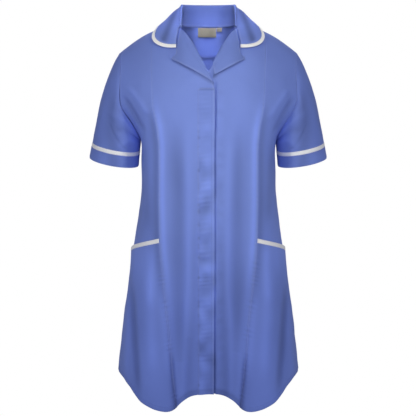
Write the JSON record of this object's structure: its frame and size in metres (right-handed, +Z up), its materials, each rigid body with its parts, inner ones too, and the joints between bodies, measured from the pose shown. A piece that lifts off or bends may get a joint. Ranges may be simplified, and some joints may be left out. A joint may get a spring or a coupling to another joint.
{
  "type": "maternity tunic",
  "caption": "Short-sleeved flared maternity tunic, filled out and hollow, with turned-down collar, lapels, concealed front fastening, princess seams and side pockets.",
  "frame": {"origin": "middle of the neck opening, 14 mm above the neck ends of the shoulder seams, where the wearer's neck and shoulders hold the tunic up", "axes": "+Z up along the body, front faces -Y, +X towards the wearer's left side"},
  "size_m": [0.519, 0.3086, 0.854],
  "materials": {
    "blue_cloth": "plain woven polyester and cotton, slight sheen",
    "white_trim": "plain woven binding",
    "label_cloth": "woven label"
  },
  "bodies": {
    "root": {"front_right": "blue_cloth", "front_left": "blue_cloth", "side_front_right": "blue_cloth", "side_front_left": "blue_cloth", "back": "blue_cloth", "back_neck_facing": "blue_cloth", "placket": "blue_cloth", "lapel_right": "blue_cloth", "lapel_left": "blue_cloth", "collar": "blue_cloth", "collar_trim": "white_trim", "sleeve_right": "blue_cloth", "sleeve_left": "blue_cloth", "sleeve_trim_right": "white_trim", "sleeve_trim_left": "white_trim", "cuff_right": "blue_cloth", "cuff_left": "blue_cloth", "pocket_right": "blue_cloth", "pocket_left": "blue_cloth", "pocket_trim_right": "white_trim", "pocket_trim_left": "white_trim", "label": "label_cloth", "size_label": "label_cloth"}
  },
  "joints": []
}
